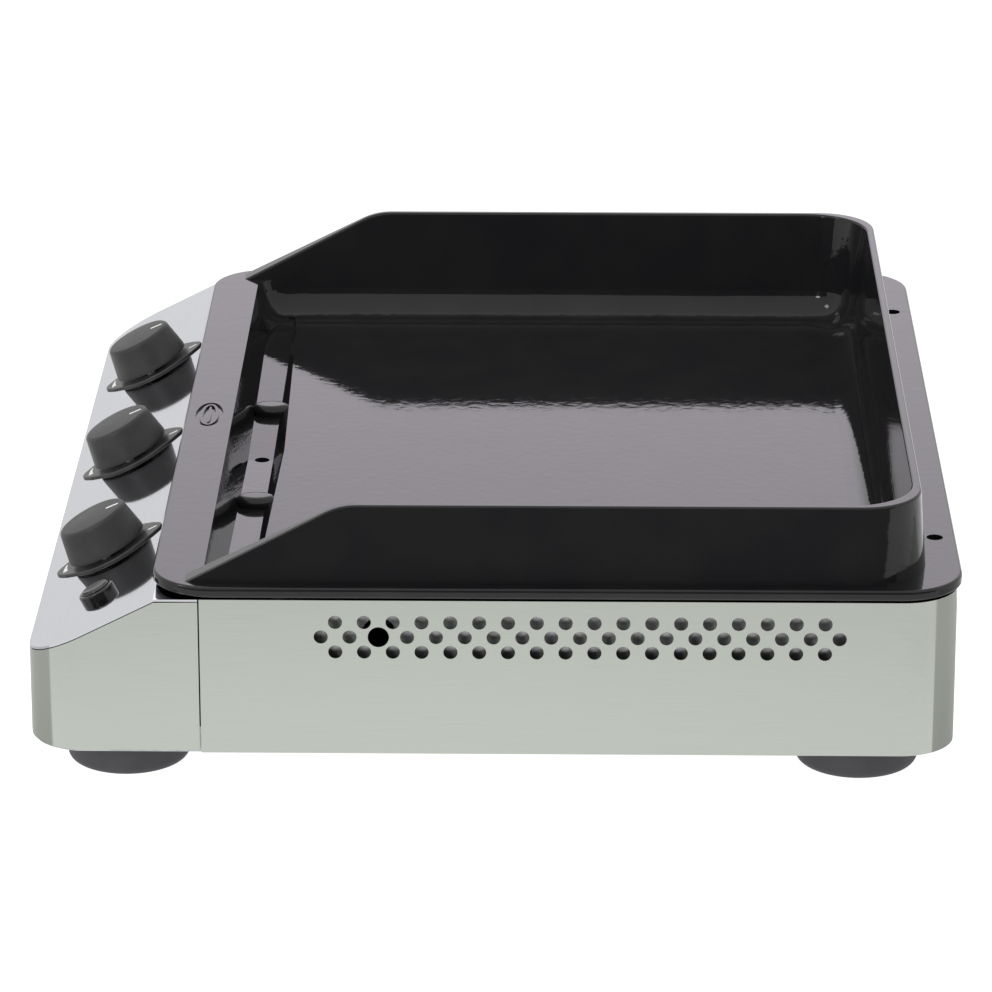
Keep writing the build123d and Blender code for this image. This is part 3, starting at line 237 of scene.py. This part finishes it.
def printed_shape(name, outline, joint, node, body):
    """A thin printed shape that lies on a moulded face: each corner of its outline is dropped along the
    knob's axis onto the part, and the shape is as thick as a coat of ink."""
    plane = square_to_knob(joint)
    part = frame["nodes"][node].data
    faces = [tuple(polygon.vertices) for polygon in part.polygons]
    surface = BVHTree.FromPolygons([v.co for v in part.vertices], faces)
    down = -Vector(joint["axis"]).normalized()
    mesh = bpy.data.meshes.new(name)
    shape = bmesh.new()
    corners = []
    for x, y in outline:
        above = plane @ Vector((x, y, 60 * MM))
        corners.append(shape.verts.new(surface.ray_cast(above, down)[0]))
    face = shape.faces.new(corners)
    raised = bmesh.ops.extrude_face_region(shape, geom=[face])
    tops = [v for v in raised["geom"] if isinstance(v, bmesh.types.BMVert)]
    bmesh.ops.translate(shape, verts=tops, vec=-down * INK)
    bmesh.ops.recalc_face_normals(shape, faces=shape.faces)
    shape.to_mesh(mesh)
    shape.free()
    mesh.materials.append(white_ink)
    piece = bpy.data.objects.new(name, mesh)
    bpy.context.scene.collection.objects.link(piece)
    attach(piece, body)


def pointer_dash(length, width, middle):
    """A straight mark with round ends that points up the slope."""
    points = []
    for end in (1, -1):
        for step in range(9):
            angle = math.pi * step / 8 + (0 if end > 0 else math.pi)
            points.append((
                math.cos(angle) * width / 2,
                middle + end * (length - width) / 2 + math.sin(angle) * width / 2,
            ))
    return points


def flame_wedge(radius, thin, thick, sweep):
    """A low-to-high mark: an arc about the knob that grows from thin to thick."""
    inner, outer = [], []
    for step in range(21):
        angle = -math.pi / 2 + math.radians(sweep) * (step / 20 - 0.5)
        half = (thin + (thick - thin) * step / 20) / 2
        inner.append((math.cos(angle) * (radius - half), math.sin(angle) * (radius - half)))
        outer.append((math.cos(angle) * (radius + half), math.sin(angle) * (radius + half)))
    return outer + inner[::-1]


EAR_MARK = 28.6 * MM
for side in ("left", "centre", "right"):
    turn = joints["knob_turn_" + side]
    bezel, knob = "bezel_" + side, "knob_" + side
    printed_shape("off_mark_" + side, pointer_dash(6.0 * MM, 1.8 * MM, EAR_MARK), turn, bezel,
                  "griddle_body")
    printed_shape("flame_mark_" + side, flame_wedge(EAR_MARK, 0.8 * MM, 3.2 * MM, 23), turn, bezel,
                  "griddle_body")
    printed_shape(knob + "_mark", pointer_dash(8.0 * MM, 1.9 * MM, 14.0 * MM), turn, knob, knob + "_body")


# ---- camera ----
camera_data = bpy.data.cameras.new("camera")
camera = bpy.data.objects.new("camera", camera_data)
bpy.context.scene.collection.objects.link(camera)
bpy.context.scene.camera = camera
camera_data.sensor_width = 36.0
camera_data.lens = 190.2
camera_data.clip_end = 100.0
camera.location = (3.027, 0.041, 1.154)
pitch, heading = math.radians(19.686), math.radians(-0.832)
look = Vector((
    -math.cos(pitch) * math.cos(heading),
    math.cos(pitch) * math.sin(heading),
    -math.sin(pitch),
))
camera.rotation_mode = "QUATERNION"
camera.rotation_quaternion = look.to_track_quat("-Z", "Y")


# ---- floor, flag and light ----
def staged_sheet(name, corners):
    """A flat studio sheet from its four corners."""
    mesh = bpy.data.meshes.new(name)
    mesh.from_pydata(corners, [], [(0, 1, 2, 3)])
    sheet = bpy.data.objects.new(name, mesh)
    bpy.context.scene.collection.objects.link(sheet)
    return sheet


def matt_sheet(name, low, high, fibre_mm, detail, rough):
    """A matt sheet with a fine mottle. The eye sees one even tone."""
    made, tree = empty_material(name)
    mottle = add(tree, "TexNoise", {"Vector": add(tree, "TexCoord").outputs["Object"],
                                    "Scale": 1 / (fibre_mm * MM), "Detail": detail})
    colour = add(tree, "Mix", {0: mottle.outputs["Fac"], 6: low, 7: high}, data_type="RGBA")
    shader = add(tree, "BsdfPrincipled", {"Base Color": colour.outputs[2], "Roughness": rough})
    add(tree, "OutputMaterial", {"Surface": shader.outputs[0]})
    return made


REACH = 12.0
floor = staged_sheet("floor", [(-REACH, -REACH, 0), (REACH, -REACH, 0),
                               (REACH, REACH, 0), (-REACH, REACH, 0)])
paper, paper_tree = empty_material("white_paper_sweep")
fibre = add(paper_tree, "TexNoise", {"Vector": add(paper_tree, "TexCoord").outputs["Object"],
                                     "Scale": 1 / (2 * MM), "Detail": 2.0})
paper_colour = add(paper_tree, "Mix", {0: fibre.outputs["Fac"], 6: "B4B4B3", 7: "B8B8B7"}, data_type="RGBA")
# Painted light: the paper glows all over, and glows more in a pool round the object, which also lifts the
# contact shadow under it, so the low part of the body reflects lighter.
away = add(paper_tree, "VectorMath", {0: add(paper_tree, "TexCoord").outputs["Object"]}, operation="LENGTH")
painted_glow_pool = add(paper_tree, "MapRange", {"Value": away.outputs["Value"], "From Min": 0.32, "From Max": 0.62,
                                    "To Min": 0.92, "To Max": 0.60})
paper_shader = add(paper_tree, "BsdfPrincipled", {"Base Color": paper_colour.outputs[2], "Roughness": 0.9,
                                                  "Specular IOR Level": 0.0, "Emission Color": "FFFFFF",
                                                  "Emission Strength": painted_glow_pool.outputs[0]})
add(paper_tree, "OutputMaterial", {"Surface": paper_shader.outputs[0]})
floor.data.materials.append(paper)

# A dark flag stands low on the right: only mirror images of it are seen, in the plate's outer wall.
FLAG_X, FLAG_HALF, FLAG_TOP = 0.72, 1.2, 0.5
flag = staged_sheet("flag", [(FLAG_X, -FLAG_HALF, 0.0), (FLAG_X, FLAG_HALF, 0.0),
                             (FLAG_X, FLAG_HALF, FLAG_TOP), (FLAG_X, -FLAG_HALF, FLAG_TOP)])
flag.data.materials.append(matt_sheet("black_felt", "3A3A3A", "444444", 3, 3.0, 0.95))

# Grey cards lie on the floor off both right-hand corners. Only their mirror images are seen, as a soft upright
# reflected band round each bend.
grey_card = matt_sheet("grey_card", "CACAC8", "D0D0CE", 2, 2.0, 0.9)
CARD_TOP = 0.5 * MM
NEAR, FAR = 0.275, 0.75
cards = [
    staged_sheet("card_front", [(-0.1, -FAR, CARD_TOP), (0.42, -FAR, CARD_TOP),
                                (0.30, -NEAR, CARD_TOP), (-0.1, -NEAR, CARD_TOP)]),
    staged_sheet("card_rear", [(0.0, NEAR, CARD_TOP), (0.30, NEAR, CARD_TOP),
                               (0.42, FAR, CARD_TOP), (0.0, FAR, CARD_TOP)]),
]
for card in cards:
    card.data.materials.append(grey_card)
for staged in (flag, *cards):
    staged.visible_camera = False
    staged.visible_diffuse = False
    staged.visible_shadow = False

# The studio: even white walls, with a brighter window wall low on the left.
world = bpy.data.worlds.new("studio")
bpy.context.scene.world = world
world.use_nodes = True
sky = world.node_tree
sky.nodes.clear()
direction = add(sky, "TexCoord").outputs["Generated"]
height = add(sky, "SeparateXYZ", {0: direction}).outputs["Z"]
walls = add(sky, "ValToRGB", {0: height})
walls.color_ramp.elements[0].position = 0.0
walls.color_ramp.elements[0].color = (0.98, 0.99, 0.98, 1)
walls.color_ramp.elements[1].position = 1.0
walls.color_ramp.elements[1].color = (1.16, 1.16, 1.16, 1)
towards = add(sky, "VectorMath", {0: direction, 1: (-0.93, 0.0, 0.367)}, operation="DOT_PRODUCT")
window = add(sky, "MapRange", {"Value": towards.outputs["Value"], "From Min": 0.945, "From Max": 0.99,
                               "To Max": 0.82})
glow = add(sky, "Mix", {0: 1.0, 6: walls.outputs["Color"]}, data_type="RGBA", blend_type="ADD",
           clamp_result=False)
tint = add(sky, "VectorMath", {0: (1.0, 0.87, 1.06)}, operation="SCALE")
sky.links.new(window.outputs[0], tint.inputs["Scale"])
sky.links.new(tint.outputs["Vector"], glow.inputs[7])
background = add(sky, "Background", {"Color": glow.outputs[2], "Strength": 1.0})
add(sky, "OutputWorld", {"Surface": background.outputs[0]})


def softbox(name, place_at, aim, size, power):
    """A lamp with a cloth front, facing a point."""
    data = bpy.data.lights.new(name, "AREA")
    data.shape = "RECTANGLE"
    data.size, data.size_y = size
    data.energy = power
    lamp = bpy.data.objects.new(name, data)
    bpy.context.scene.collection.objects.link(lamp)
    lamp.location = place_at
    lamp.rotation_mode = "QUATERNION"
    lamp.rotation_quaternion = (Vector(aim) - Vector(place_at)).to_track_quat("-Z", "Y")
    lamp.visible_camera = False


softbox("front_softbox", (0.5, -2.0, 2.3), (0, 0, 0.1), (0.5, 0.5), 6)
softbox("right_softbox", (2.6, -1.6, 1.0), (0.1, -0.2, 0.1), (0.5, 1.1), 30)

bpy.context.scene.view_settings.view_transform = "Standard"
